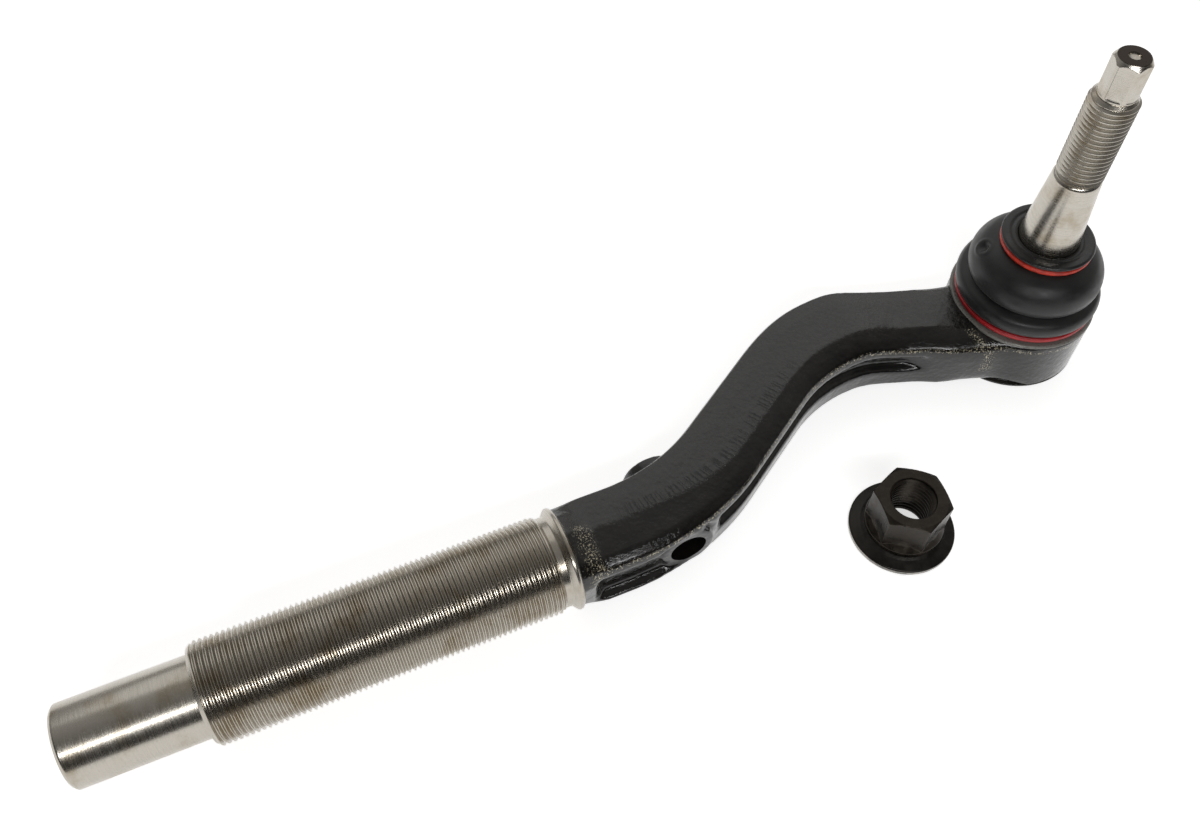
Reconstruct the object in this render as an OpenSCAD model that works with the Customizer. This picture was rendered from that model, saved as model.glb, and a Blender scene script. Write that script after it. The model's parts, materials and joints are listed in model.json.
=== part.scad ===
// Tie rod end: threaded shank, forged S-shaped arm, ball joint with dust boot,
// and the flange nut of its stud. The origin is the centre of the housing's
// underside, +Z runs up the ball stud and the shank points along -X.

/* [Shank] */
// Major diameter of the shank thread
shank_thread_d = 28; // [24:0.5:30]
// Length of the shank thread
shank_thread_len = 96; // [60:1:110]
// Diameter of the plain pilot at the end of the shank
pilot_d = 22.5; // [18:0.5:23]
// Length of the plain pilot
pilot_len = 34.5; // [20:0.5:50]
// Diameter of the collar where the shank meets the forging
collar_d = 29.6; // [29:0.1:31]
// Width of the relief between thread and collar
relief_w = 3.5; // [2:0.5:5]

/* [Arm] */
// Distance from the stud axis to the collar, along the shank
reach = 173; // [170:1:180]
// Sideways distance from the stud axis to the shank axis
offset_y = 28; // [26:0.5:30]
// Heading of the slanted middle of the arm, in degrees
slant_deg = 33; // [31:1:34]
// Radius of the bend next to the shank
bend_in_r = 70; // [66:1:74]
// Radius of the bend next to the housing
bend_out_r = 60; // [58:1:62]
// Width of the arm
arm_w = 24.4; // [22:0.2:25]
// Height of the arm
arm_h = 22.4; // [20:0.2:24]
// Depth of the long pockets in the arm's sides
pocket_depth = 3.2; // [1.5:0.1:4]
// Diameter of the cross hole in the arm's boss
boss_hole_d = 11; // [6:0.5:12]

/* [Housing] */
// Outer diameter of the socket housing
housing_d = 46; // [44:0.5:50]
// Height of the housing up to the boot's seat
housing_h = 21; // [20.5:0.1:22]
// Diameter of the ball
ball_d = 23; // [22:0.2:23.2]
// Height of the ball's centre above the underside
ball_z = 14.5; // [14.3:0.1:14.7]

/* [Stud] */
// Major diameter of the stud thread
stud_thread_d = 14; // [12:1:14]
// Height at which the stud thread begins
stud_thread_z = 71.6; // [70:0.2:74]
// Length of the stud thread
stud_thread_len = 28.4; // [20:0.2:30]
// Width across the flats of the holding hexagon on the tip
tip_flats = 9.9; // [9:0.1:11]
// Length of the holding hexagon
tip_len = 12; // [10:0.2:16]

/* [Nut] */
// Width across the flats of the nut
nut_flats = 20; // [20:0.5:22]
// Height of the nut with its washer
nut_h = 17.4; // [15:0.2:19]
// Diameter of the captive washer
washer_d = 31.4; // [29:0.2:33]
// Where the loose nut lies, along X
nut_x = -73; // [-80:1:-70]
// Where the loose nut lies, along Y
nut_y = -51; // [-60:1:-50]

/* [Hidden] */
$fn = 96;
eps = 0.01;

// Shank
shank_z = collar_d / 2;
shank_start = -reach - relief_w;
pilot_start = shank_start - shank_thread_len;
pilot_end = pilot_start - pilot_len;
relief_d = shank_thread_d - 2;
chamfer = 1;

// Arm: a straight start, a bend to the left, a slanted middle and a long bend to the right
exit_deg = 18;
lead_len = 17;
middle_len = (offset_y + 9 - bend_in_r * (1 - cos(slant_deg)) - bend_out_r * (1 - cos(slant_deg)))
    / sin(slant_deg);
run_in_len = 26;
bend_in_len = bend_in_r * slant_deg * PI / 180;
bend_out_len = bend_out_r * (slant_deg + exit_deg) * PI / 180;
arm_len = lead_len + bend_in_len + middle_len + bend_out_len + run_in_len;
arm_steps = 52;
shank_blend_len = 10;
housing_z_drop = 2.4;
housing_h_drop = 1.4;
ridge_shift = 5;
root_flare = 1.5;

// Boss with the cross hole
boss_x = -138;
boss_z = 11.6;
boss_r = 8.2;
boss_near_y = -37.5;
boss_far_y = -9.5;

// Housing
housing_r = housing_d / 2;
neck_r = 18.6;
neck_top = 25.5;
socket_r = 15.5;
socket_top = 20;
mouth_r = 10.9;
mouth_top_r = 13.4;
cover_r = 17.4;
cover_h = 2.8;
lip_drop = 0.9;
fit_gap = 0.05;
run_gap = 0.3;
race_gap = 0.1;

// Stud
ball_r = ball_d / 2;
ball_flat = 8.3;
neck_of_ball_r = 6.5;
shoulder_r = 9.2;
shoulder_low = 38;
shoulder_top = 46;
taper_ratio = 12;
thread_r = stud_thread_d / 2;
thread_top = stud_thread_z + stud_thread_len;
tip_top = thread_top + tip_len;
tip_round_r = 5.45;
tip_turn = 6;

// Boot
boot_seat_z = housing_h + 0.2;
lower_ring_r = 21.05;
lower_ring_z = 22.65;
lower_ring_wire = 0.9;
upper_ring_r = 13.2;
upper_ring_z = 44.4;
upper_ring_wire = 0.85;
boot_top_z = 45.5;
collar_lip_r = 14.2;
collar_top = 47;
collar_bore_r = shoulder_r + run_gap;
collar_sleeve_r = 11;

// Nut
nut_bore_r = 6.2;
washer_r = washer_d / 2;
washer_rim_h = 2;
washer_h = 3.8;
washer_crown_r = 10.6;
washer_bore_r = 9.3;
skirt_r = 9;
skirt_lip_r = 9.9;
nut_collar_r = 11.7;
nut_collar_h = 1.5;

// Corner points of the arm's section, as shares of half the width and half the height.
// The third value is 1 where a pocket pushes the point inwards. The fourth is -1 on the
// pocket's lower edge and 1 on its upper edge, which rise along the arm.
SECTION = [
    [0.997, 0.50, 0, 0], [0.98, 0.78, 0, 0], [0.91, 0.92, 0, 0], [0.50, 0.975, 0, 0], [0, 1, 0, 0],
    [-0.70, 0.84, 0, 0], [-0.93, 0.67, 0, 0], [-0.98, 0.55, 0, 0], [-0.997, 0.38, 0, 1], [-1.003, 0.27, 1, 1],
    [-1.003, -0.68, 1, -1], [-0.997, -0.78, 0, -1], [-0.98, -0.87, 0, 0], [-0.90, -0.97, 0, 0], [0, -1, 0, 0],
    [0.90, -0.97, 0, 0], [0.98, -0.87, 0, 0], [0.997, -0.78, 0, -1], [1.003, -0.68, 1, -1], [1.003, 0.27, 1, 0],
];
RIDGE_POINT = 4;

function step_up(x, low, high) =
    let (t = min(max((x - low) / (high - low), 0), 1)) t * t * (3 - 2 * t);
function lerp(a, b, t) = a + (b - a) * t;

// Heading of the arm's centre line after a run of s
function heading(s) =
    s < lead_len ? 0
    : s < lead_len + bend_in_len ? (s - lead_len) / bend_in_r * 180 / PI
    : s < lead_len + bend_in_len + middle_len ? slant_deg
    : s < arm_len - run_in_len
        ? slant_deg - (s - lead_len - bend_in_len - middle_len) / bend_out_r * 180 / PI
    : -exit_deg;

// Point on an arc that starts at p with heading a and turns to heading b
function arc_end(p, r, a, b) =
    b > a
    ? p + r * [sin(b) - sin(a), cos(a) - cos(b)]
    : p + r * [sin(a) - sin(b), cos(b) - cos(a)];

A0 = [-reach, -offset_y];
A1 = A0 + [lead_len, 0];
A2 = arc_end(A1, bend_in_r, 0, slant_deg);
A3 = A2 + middle_len * [cos(slant_deg), sin(slant_deg)];
A4 = arc_end(A3, bend_out_r, slant_deg, -exit_deg);

// Point on the arm's centre line after a run of s
function centre(s) =
    s < lead_len ? A0 + [s, 0]
    : s < lead_len + bend_in_len ? arc_end(A1, bend_in_r, 0, heading(s))
    : s < lead_len + bend_in_len + middle_len
        ? A2 + (s - lead_len - bend_in_len) * [cos(slant_deg), sin(slant_deg)]
    : s < arm_len - run_in_len ? arc_end(A3, bend_out_r, slant_deg, heading(s))
    : A4 + (s - arm_len + run_in_len) * [cos(exit_deg), -sin(exit_deg)];

// Depth of the side pockets after a run of s: one before the boss and one after it
function pocket(s) = pocket_depth * (
    step_up(s, 4, 9) * (1 - step_up(s, 36, 40))
    + step_up(s, 41, 46) * (1 - step_up(s, arm_len - 26, arm_len - 17))
);

// Rise of a pocket's edges after a run of s: the first pocket is tall and the second narrow
function edge_rise(s, edge) =
    edge < 0 ? 0.5 * step_up(s, 36, 44)
    : edge > 0 ? 0.12 * step_up(s, 22, 28) * (1 - step_up(s, 40, 44))
    : 0;

// Extra width of the far side where the arm turns towards the housing
function far_swell(s) = 1.7 * step_up(s, arm_len - 80, arm_len - 55) * (1 - step_up(s, arm_len - 48, arm_len - 34));

// Sideways shift of the ridge along the arm's top after a run of s
function ridge(s) = -ridge_shift * step_up(s, 20, 60);

// One ring of points around the arm, round at the shank and squarish further on
function arm_ring(s) =
    let (
        p = centre(s),
        a = heading(s),
        late = step_up(s, arm_len - 46, arm_len - 26),
        square = step_up(s, 0, shank_blend_len),
        half_w = arm_w / 2 + root_flare * step_up(s, arm_len - 22, arm_len - 8),
        half_h = (arm_h - late * housing_h_drop) / 2,
        mid_z = lerp(shank_z, arm_h / 2 + 2.8, square) - late * housing_z_drop,
        round_r = collar_d / 2 - 0.6
    )
    [for (i = [0 : len(SECTION) - 1])
        let (
            q = SECTION[i],
            turn = atan2(q[1], q[0]),
            side = q[0] > 0 ? 1 : -1,
            u = q[0] * half_w - side * q[2] * pocket(s) + (i == RIDGE_POINT ? ridge(s) : 0)
                + (q[0] > 0 ? far_swell(s) : 0),
            w = lerp(round_r * cos(turn), u, square),
            h = lerp(round_r * sin(turn), (q[1] + edge_rise(s, q[3])) * half_h, square)
        )
        [p[0] - w * sin(a), p[1] + w * cos(a), mid_z + h]
    ];

module arm() {
    rings = [for (k = [0 : arm_steps]) arm_ring(arm_len * k / arm_steps)];
    n = len(SECTION);
    points = [for (ring = rings) each ring];
    sides = [
        for (k = [0 : arm_steps - 1])
            for (i = [0 : n - 1])
                let (a = k * n + i, b = k * n + (i + 1) % n)
                each [[a, b, b + n], [a, b + n, a + n]]
    ];
    first_end = [for (i = [0 : n - 1]) n - 1 - i];
    last_end = [for (i = [0 : n - 1]) arm_steps * n + i];
    polyhedron(points = points, faces = [for (f = concat(sides, [first_end, last_end])) reverse(f)]);
}

function reverse(list) = [for (i = [len(list) - 1 : -1 : 0]) list[i]];

// A shaft along X: stations are pairs of position and radius, from low X to high X
module turned_x(stations) {
    low = stations[0][0];
    high = stations[len(stations) - 1][0];
    outline = concat([[0, low]], [for (s = stations) [s[1], s[0]]], [[0, high]]);
    rotate([0, 90, 0])
        rotate_extrude()
            polygon(outline);
}

module shank() {
    translate([0, -offset_y, shank_z])
        turned_x([
            [pilot_end, pilot_d / 2 - chamfer],
            [pilot_end + chamfer, pilot_d / 2],
            [pilot_start, pilot_d / 2],
            [pilot_start, shank_thread_d / 2],
            [shank_start, shank_thread_d / 2],
            [shank_start, relief_d / 2],
            [-reach - chamfer, relief_d / 2],
            [-reach, collar_d / 2],
            [-reach + chamfer, collar_d / 2],
            [-reach + 2 * chamfer, relief_d / 2],
            [-reach + 6, relief_d / 2],
        ]);
}

module boss() {
    translate([boss_x, boss_near_y, boss_z])
        rotate([-90, 0, 0])
            cylinder(h = boss_far_y - boss_near_y, r = boss_r);
}

module boss_hole() {
    translate([boss_x, boss_near_y - 5, boss_z])
        rotate([-90, 0, 0])
            cylinder(h = boss_far_y - boss_near_y + 10, d = boss_hole_d);
}

module housing_drum() {
    rotate_extrude()
        polygon([
            [0, 0],
            [housing_r - chamfer, 0],
            [housing_r, chamfer],
            [housing_r, housing_h - 0.5],
            [housing_r - 0.5, housing_h],
            [0, housing_h],
        ]);
}

// Room around the neck for the boot's lip and its ring
module boot_room() {
    translate([0, 0, housing_h])
        cylinder(h = 20, r = housing_r + 0.6);
}

// Socket, mouth and the seat of the end cover, all on the stud axis
module socket() {
    rotate_extrude()
        polygon([
            [0, -1],
            [cover_r - lip_drop + fit_gap, -1],
            [cover_r - lip_drop + fit_gap, 0],
            [cover_r + fit_gap, lip_drop],
            [cover_r + fit_gap, cover_h],
            [socket_r, cover_h],
            [socket_r, socket_top],
            [mouth_r, socket_top],
            [mouth_top_r, neck_top],
            [mouth_top_r, neck_top + 1],
            [0, neck_top + 1],
        ]);
}

module neck() {
    translate([0, 0, housing_h - 1])
        rotate_extrude()
            polygon([
                [0, 0],
                [neck_r, 0],
                [neck_r, neck_top - housing_h + 0.5],
                [neck_r - 0.5, neck_top - housing_h + 1],
                [0, neck_top - housing_h + 1],
            ]);
}

module forged_body() {
    color("#1c1b1a")
        difference() {
            union() {
                difference() {
                    union() {
                        arm();
                        shank();
                        boss();
                        housing_drum();
                    }
                    boot_room();
                    boss_hole();
                }
                neck();
            }
            socket();
        }
}

module end_cover() {
    recess_r = 11.5;
    recess_z = 2;
    color("#3a3937")
        rotate_extrude()
            polygon([
                [0, 0],
                [cover_r - lip_drop, 0],
                [cover_r, lip_drop],
                [cover_r, cover_h - fit_gap],
                [recess_r, cover_h - fit_gap],
                [recess_r, recess_z],
                [0, recess_z],
            ]);
}

module preload_spring() {
    outer_r = 14.5;
    inner_r = 6.5;
    sheet = 0.7;
    rise = 0.35;
    color("#8f9296")
        translate([0, 0, cover_h])
            rotate_extrude()
                polygon([
                    [outer_r, 0],
                    [outer_r, sheet],
                    [inner_r, sheet + rise],
                    [inner_r, rise],
                ]);
}

module lower_seat() {
    seat_low = cover_h + 1.1;
    seat_top = ball_z - run_gap;
    color("#d8d4c4")
        difference() {
            translate([0, 0, seat_low])
                cylinder(h = seat_top - seat_low, r = socket_r - fit_gap);
            translate([0, 0, ball_z])
                sphere(r = ball_r + run_gap);
        }
}

module upper_race() {
    race_low = ball_z + 0.1;
    race_top = socket_top - 0.2;
    color("#cfcab8")
        difference() {
            translate([0, 0, race_low])
                cylinder(h = race_top - race_low, r = socket_r - race_gap);
            translate([0, 0, ball_z])
                sphere(r = ball_r + run_gap);
        }
}

// Ball with a flat underside, narrow neck, taper, thread and holding hexagon
module ball_stud() {
    neck_end_z = 31.5;
    taper_end_z = stud_thread_z - 0.6;
    taper_end_r = shoulder_r - (taper_end_z - shoulder_top) / taper_ratio;
    dimple_r = 1.6;
    tip_chamfer = 0.6;
    color("#b9b7b1") {
        difference() {
            union() {
                intersection() {
                    translate([0, 0, ball_z])
                        sphere(r = ball_r);
                    translate([-ball_d, -ball_d, ball_z - ball_flat])
                        cube([2 * ball_d, 2 * ball_d, 2 * ball_d]);
                }
                rotate_extrude()
                    polygon([
                        [0, ball_z],
                        [neck_of_ball_r, ball_z],
                        [neck_of_ball_r, neck_end_z],
                        [shoulder_r, shoulder_low],
                        [shoulder_r, shoulder_top],
                        [taper_end_r, taper_end_z],
                        [thread_r, stud_thread_z],
                        [thread_r, thread_top - chamfer],
                        [thread_r - chamfer, thread_top],
                        [0, thread_top],
                    ]);
                intersection() {
                    translate([0, 0, thread_top - eps])
                        rotate([0, 0, tip_turn])
                            cylinder(h = tip_len + eps, d = tip_flats / cos(30), $fn = 6);
                    rotate_extrude()
                        polygon([
                            [0, thread_top - 1],
                            [tip_round_r, thread_top - 1],
                            [tip_round_r, tip_top - 2 * tip_chamfer],
                            [tip_flats / 2 - tip_chamfer, tip_top],
                            [0, tip_top],
                        ]);
                }
            }
            translate([0, 0, tip_top - 1])
                cylinder(h = 2, r = dimple_r);
        }
    }
}

// Stiff lip that carries the top of the boot and turns on the stud's shoulder
module boot_collar() {
    color("#1a1a1b")
        rotate_extrude()
            polygon([
                [collar_bore_r, 41.5],
                [collar_sleeve_r, 41.5],
                [collar_sleeve_r, boot_top_z + 0.1],
                [collar_lip_r - 0.4, boot_top_z + 0.1],
                [collar_lip_r, boot_top_z + 0.5],
                [collar_lip_r, collar_top - 0.5],
                [collar_lip_r - 0.5, collar_top],
                [collar_bore_r, collar_top],
            ]);
}

// Hollow rubber bellows with two bulges
module dust_boot() {
    color("#202021")
        rotate_extrude()
            polygon([
                [neck_r + fit_gap, boot_seat_z],
                [20.9, boot_seat_z],
                [20.9, 21.7],
                [20.1, 21.75],
                [20.1, 23.6],
                [21.3, 23.9],
                [22.4, 25.2],
                [22.6, 26.8],
                [22.0, 28.6],
                [20.4, 29.8],
                [18.5, 30.4],
                [19.8, 31],
                [20.5, 32.6],
                [20.6, 34.6],
                [20.1, 37],
                [18.6, 39.6],
                [16.4, 41.6],
                [14, 42.8],
                [12.3, 43.3],
                [12.3, boot_top_z],
                [collar_sleeve_r + fit_gap, boot_top_z],
                [collar_sleeve_r + fit_gap, 42],
                [13.4, 41.2],
                [15.4, 40],
                [17.2, 38.2],
                [18.4, 35.8],
                [18.8, 34.2],
                [18.5, 33],
                [16.8, 31.4],
                [16.8, 29.9],
                [19.6, 28],
                [20.5, 26.8],
                [20.3, 25.8],
                [19.4, 25],
                [neck_r + fit_gap, 24.4],
            ]);
}

// A wire ring lying flat around the stud axis
module wire_ring(ring_r, wire_r, z) {
    translate([0, 0, z])
        rotate_extrude()
            translate([ring_r, 0])
                circle(r = wire_r, $fn = 24);
}

module boot_lower_ring() {
    color("#b3202a")
        wire_ring(lower_ring_r, lower_ring_wire, lower_ring_z);
}

module boot_upper_ring() {
    color("#c8341f")
        wire_ring(upper_ring_r, upper_ring_wire, upper_ring_z);
}

// Hexagon with chamfered corners, a round collar and a skirt that holds the washer
module flange_nut() {
    hex_low = washer_h + 0.2;
    corner_r = nut_flats / cos(30) / 2;
    mouth_r = 6.8;
    cone_r = corner_r + 1;
    cone_low = nut_h - (cone_r - nut_flats / 2 + 0.2) * tan(30);
    nut_turn = 22;
    color("#2a2420")
        translate([nut_x, nut_y, 0])
            difference() {
                union() {
                    intersection() {
                        translate([0, 0, hex_low])
                            rotate([0, 0, nut_turn])
                                cylinder(h = nut_h - hex_low, r = corner_r, $fn = 6);
                        rotate_extrude()
                            polygon([
                                [0, hex_low - 1],
                                [cone_r, hex_low - 1],
                                [cone_r, cone_low],
                                [nut_flats / 2 - 0.2, nut_h],
                                [0, nut_h],
                            ]);
                    }
                    rotate_extrude()
                        polygon([
                            [0, 0.4],
                            [skirt_lip_r, 0.4],
                            [skirt_lip_r, 1.0],
                            [skirt_r, 1.0],
                            [skirt_r, hex_low],
                            [nut_collar_r, hex_low],
                            [nut_collar_r, hex_low + nut_collar_h],
                            [0, hex_low + nut_collar_h + 1],
                        ]);
                }
                rotate_extrude()
                    polygon([
                        [0, -1],
                        [mouth_r, -1],
                        [mouth_r, 0.4],
                        [nut_bore_r, 1.5],
                        [nut_bore_r, nut_h - 1.1],
                        [mouth_r, nut_h],
                        [mouth_r, nut_h + 1],
                        [0, nut_h + 1],
                    ]);
            }
}

module captive_washer() {
    recess_r = skirt_lip_r + run_gap;
    recess_h = 1.4;
    color("#241f1c")
        translate([nut_x, nut_y, 0])
            rotate_extrude()
                polygon([
                    [recess_r, 0],
                    [washer_r - 0.3, 0],
                    [washer_r, 0.3],
                    [washer_r, washer_rim_h],
                    [washer_crown_r + 1.2, washer_h - 0.6],
                    [washer_crown_r, washer_h],
                    [washer_bore_r, washer_h],
                    [washer_bore_r, recess_h],
                    [recess_r, recess_h],
                ]);
}

forged_body();
end_cover();
preload_spring();
lower_seat();
upper_race();
ball_stud();
boot_collar();
dust_boot();
boot_lower_ring();
boot_upper_ring();
flange_nut();
captive_washer();
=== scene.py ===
"""The looks of a tie rod end: bare machined shank, black painted forging, ball joint and nut."""
import json
import math

import bmesh
import bpy
import numpy as np
from mathutils import Matrix, Vector


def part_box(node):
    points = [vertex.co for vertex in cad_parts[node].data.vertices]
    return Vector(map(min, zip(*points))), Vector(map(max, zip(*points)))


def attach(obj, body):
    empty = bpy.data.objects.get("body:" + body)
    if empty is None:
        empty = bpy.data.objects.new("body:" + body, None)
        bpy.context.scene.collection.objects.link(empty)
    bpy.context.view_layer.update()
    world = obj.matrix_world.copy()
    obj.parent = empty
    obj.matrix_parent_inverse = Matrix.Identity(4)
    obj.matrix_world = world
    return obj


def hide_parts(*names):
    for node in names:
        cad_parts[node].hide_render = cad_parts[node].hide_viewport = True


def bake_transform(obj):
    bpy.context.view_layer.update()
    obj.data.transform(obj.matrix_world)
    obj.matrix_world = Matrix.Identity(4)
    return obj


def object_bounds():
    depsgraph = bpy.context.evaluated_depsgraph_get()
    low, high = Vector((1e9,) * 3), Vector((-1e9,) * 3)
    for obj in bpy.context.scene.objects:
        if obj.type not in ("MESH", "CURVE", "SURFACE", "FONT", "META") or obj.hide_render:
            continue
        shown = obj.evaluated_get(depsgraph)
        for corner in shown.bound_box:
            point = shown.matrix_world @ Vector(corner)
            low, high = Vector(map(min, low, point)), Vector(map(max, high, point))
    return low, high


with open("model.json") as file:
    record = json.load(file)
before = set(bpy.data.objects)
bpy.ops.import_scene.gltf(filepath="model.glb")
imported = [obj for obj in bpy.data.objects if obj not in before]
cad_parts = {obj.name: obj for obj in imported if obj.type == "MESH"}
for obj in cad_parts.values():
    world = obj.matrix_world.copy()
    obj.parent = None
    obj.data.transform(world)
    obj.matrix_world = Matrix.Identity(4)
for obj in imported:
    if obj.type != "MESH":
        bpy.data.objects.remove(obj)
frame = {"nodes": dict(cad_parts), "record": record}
CAD_LOW, CAD_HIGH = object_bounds()
MM = 0.001
MOUNTS = {mount["name"]: mount for mount in frame["record"]["mounts"]}


# ---------------------------------------------------------------- sizes, in millimetres

def box_mm(node):
    """Lowest and highest corner of a CAD node, in millimetres."""
    low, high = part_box(node)
    return Vector(low) / MM, Vector(high) / MM


def mount_mm(name):
    """Centre, radius and length of a round mount, in millimetres."""
    mount = MOUNTS[name]
    return Vector(mount["pos_m"]) / MM, mount["dims"]["r_mm"], mount["dims"]["length_mm"]


BODY_LOW, BODY_HIGH = box_mm("forged_body")
STUD_LOW, STUD_HIGH = box_mm("ball_stud")
BOOT_LOW, BOOT_HIGH = box_mm("dust_boot")
COLLAR_LOW, COLLAR_HIGH = box_mm("boot_collar")
WASHER_LOW, WASHER_HIGH = box_mm("captive_washer")
_, NUT_HIGH = box_mm("flange_nut")

SHANK_CENTRE, SHANK_R, SHANK_LEN = mount_mm("shank_thread")
_, PILOT_R, _ = mount_mm("shank_pilot")
_, STUD_R, _ = mount_mm("stud_thread")
BOSS_CENTRE, BOSS_HOLE_R, _ = mount_mm("boss_hole")
NUT_CENTRE, NUT_BORE_R, _ = mount_mm("nut_thread")

PITCH = 1.5
THREAD_DEPTH = 0.85
SHANK_START = SHANK_CENTRE.x + SHANK_LEN / 2
PILOT_START = SHANK_CENTRE.x - SHANK_LEN / 2
PILOT_END = BODY_LOW.x
RELIEF_R = SHANK_R - 1.0
REACH = 173.0
SHANK_Y = SHANK_CENTRE.y
SHANK_Z = SHANK_CENTRE.z
COLLAR_R = SHANK_Z

HOUSING_R = BODY_HIGH.x
HOUSING_H = 21.0
NECK_R = 18.6
NECK_TOP = 25.5

BALL_Z = 14.5
BALL_R = (STUD_HIGH.x - STUD_LOW.x) / 2
STUD_THREAD_LOW = 71.6
STUD_THREAD_HIGH = 100.0
SHOULDER_R = 9.2
SHOULDER_TOP = 46.0
TIP_FLATS = 9.9
TIP_ROUND_R = 5.45
TIP_TURN = math.radians(6)
TIP_TOP = STUD_HIGH.z

# Arm, the same run of straights and bends as the CAD's
SLANT = math.radians(33)
EXIT = math.radians(18)
BEND_IN_R = 70.0
BEND_OUT_R = 60.0
LEAD = 17.0
RUN_IN = 26.0
ARM_W = 24.4
ARM_H = 22.4
MIDDLE = (-SHANK_Y + 9 - (BEND_IN_R + BEND_OUT_R) * (1 - math.cos(SLANT))) / math.sin(SLANT)
ARM_LEN = LEAD + BEND_IN_R * SLANT + MIDDLE + BEND_OUT_R * (SLANT + EXIT) + RUN_IN
POCKET_DEPTH = 3.2
RIDGE_SHIFT = 5.0
BOSS_R = 8.2
BOSS_NEAR_Y = -37.5
BOSS_FAR_Y = -9.5
ROOT_FLARE = 1.5
FAR_SWELL = 1.7
ARM_CLEARANCE = 2.8       # height of the arm's underside above the floor
ROOT_HEIGHT_LOSS = 1.4    # how much lower the arm's section is at the housing
ROOT_DROP = 2.4           # how much deeper its middle lies there
# The arm runs on inside the drum, so that its corners end within the wall
ROOT_OVERRUN = 9.0
ARM_STATIONS = 274
SECTION_POINTS = 96
RIDGE_CORNER = 4

# Drum that carries the housing's wall in the painted skin, and the socket inside it
DRUM_R = HOUSING_R - 0.02
DRUM_LOW = 1.2
DRUM_HIGH = HOUSING_H - 0.9
TRIM_LOW = HOUSING_H - 0.8
TRIM_R = HOUSING_R + 0.6
COVER_R = 17.45
LIP_DROP = 0.9


# ---------------------------------------------------------------- mesh helpers

def rounded(points, radius, steps=4):
    """An open outline with its inner corners rounded."""
    out = [tuple(points[0])]
    for before, corner, after in zip(points, points[1:], points[2:]):
        corner = Vector(corner)
        back = Vector(before) - corner
        ahead = Vector(after) - corner
        reach = min(radius, 0.45 * back.length, 0.45 * ahead.length)
        start = corner + back.normalized() * reach
        end = corner + ahead.normalized() * reach
        for k in range(steps + 1):
            t = k / steps
            out.append(tuple(start * (1 - t) ** 2 + corner * 2 * t * (1 - t) + end * t * t))
    out.append(tuple(points[-1]))
    return out


def smooth_outline(points, steps=8):
    """A smooth curve through the points of an open outline."""
    p = np.array([points[0], *points, points[-1]], float)
    t = np.linspace(0, 1, steps, endpoint=False)[:, None]
    pieces = []
    for a, b, c, d in zip(p, p[1:], p[2:], p[3:]):
        pieces.append(0.5 * (2 * b + (c - a) * t + (2 * a - 5 * b + 4 * c - d) * t ** 2
                             + (3 * b - a - 3 * c + d) * t ** 3))
    return [tuple(q) for q in np.vstack([*pieces, p[-1:]])]


def grid_faces(rows, columns, wrap=True):
    """Quads of a grid whose columns close into a ring."""
    faces = []
    for i in range(rows - 1):
        for j in range(columns if wrap else columns - 1):
            k = (j + 1) % columns
            faces.append((i * columns + j, i * columns + k, (i + 1) * columns + k, (i + 1) * columns + j))
    return faces


class Shape:
    """Vertices in millimetres and the faces between them, gathered from several parts."""

    def __init__(self):
        self.points = []
        self.faces = []

    def add(self, points, faces):
        start = len(self.points)
        self.points.extend(tuple(p) for p in points)
        self.faces.extend(tuple(start + i for i in face) for face in faces)
        return self

    def turned(self, outline, segments=144, closed=False):
        """Adds an outline of radius and height pairs, turned about +Z."""
        rows = list(outline) + ([outline[0]] if closed else [])
        return self.rings([(r, z) for r, z in rows], segments)

    def rings(self, rows, segments=144):
        """Adds rings about +Z, each a height and a radius that may vary with the angle."""
        angle = np.arange(segments) * 2 * math.pi / segments
        points = []
        for radius, z in rows:
            r = radius(angle) if callable(radius) else np.full(segments, float(radius))
            points.extend(zip(r * np.cos(angle), r * np.sin(angle), np.full(segments, float(z))))
        return self.add(points, grid_faces(len(rows), segments))

    def thread(self, low, high, crest, root, low_r, high_r, pitch=PITCH, per_turn=96):
        """Adds a helical thread about +Z that starts and ends on circles of the radii given."""
        profile = [(0.0, 0.0), (0.12, 0.0), (0.30, 0.52), (0.48, 1.0), (0.62, 1.0), (0.82, 0.48)]
        turns = int((high - low) / pitch) + 3
        steps = turns * per_turn + 1
        j = np.arange(steps)
        angle = j * 2 * math.pi / per_turn
        columns = len(profile)
        points = np.zeros((steps, columns, 3))
        for k, (along, deep) in enumerate(profile):
            z = low + (j / per_turn - 1 + along) * pitch
            z = np.clip(z, low, high)
            r = np.full(steps, crest + (root - crest) * deep)
            lead_in = np.clip(1 - (z - low) / (0.9 * pitch), 0, 1)
            lead_out = np.clip(1 - (high - z) / (0.9 * pitch), 0, 1)
            sign = 1 if crest > root else -1
            r = sign * np.minimum(sign * r, sign * (crest + (low_r - crest) * lead_in))
            r = sign * np.minimum(sign * r, sign * (crest + (high_r - crest) * lead_out))
            points[:, k] = np.stack([r * np.cos(angle), r * np.sin(angle), z], axis=1)
        faces = []
        for i in range(steps - 1):
            for k in range(columns - 1):
                a = i * columns + k
                faces.append((a, a + columns, a + columns + 1, a + 1))
            if i + per_turn + 1 < steps:
                a = i * columns + columns - 1
                b = (i + per_turn) * columns
                faces.append((a, a + columns, b + columns, b))
        return self.add(points.reshape(-1, 3), faces)

    def moved(self, matrix):
        """This shape with all its points moved by a matrix, in millimetres."""
        m = np.array(matrix)
        p = np.array(self.points) @ m[:3, :3].T + m[:3, 3]
        self.points = [tuple(q) for q in p]
        return self


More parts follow.
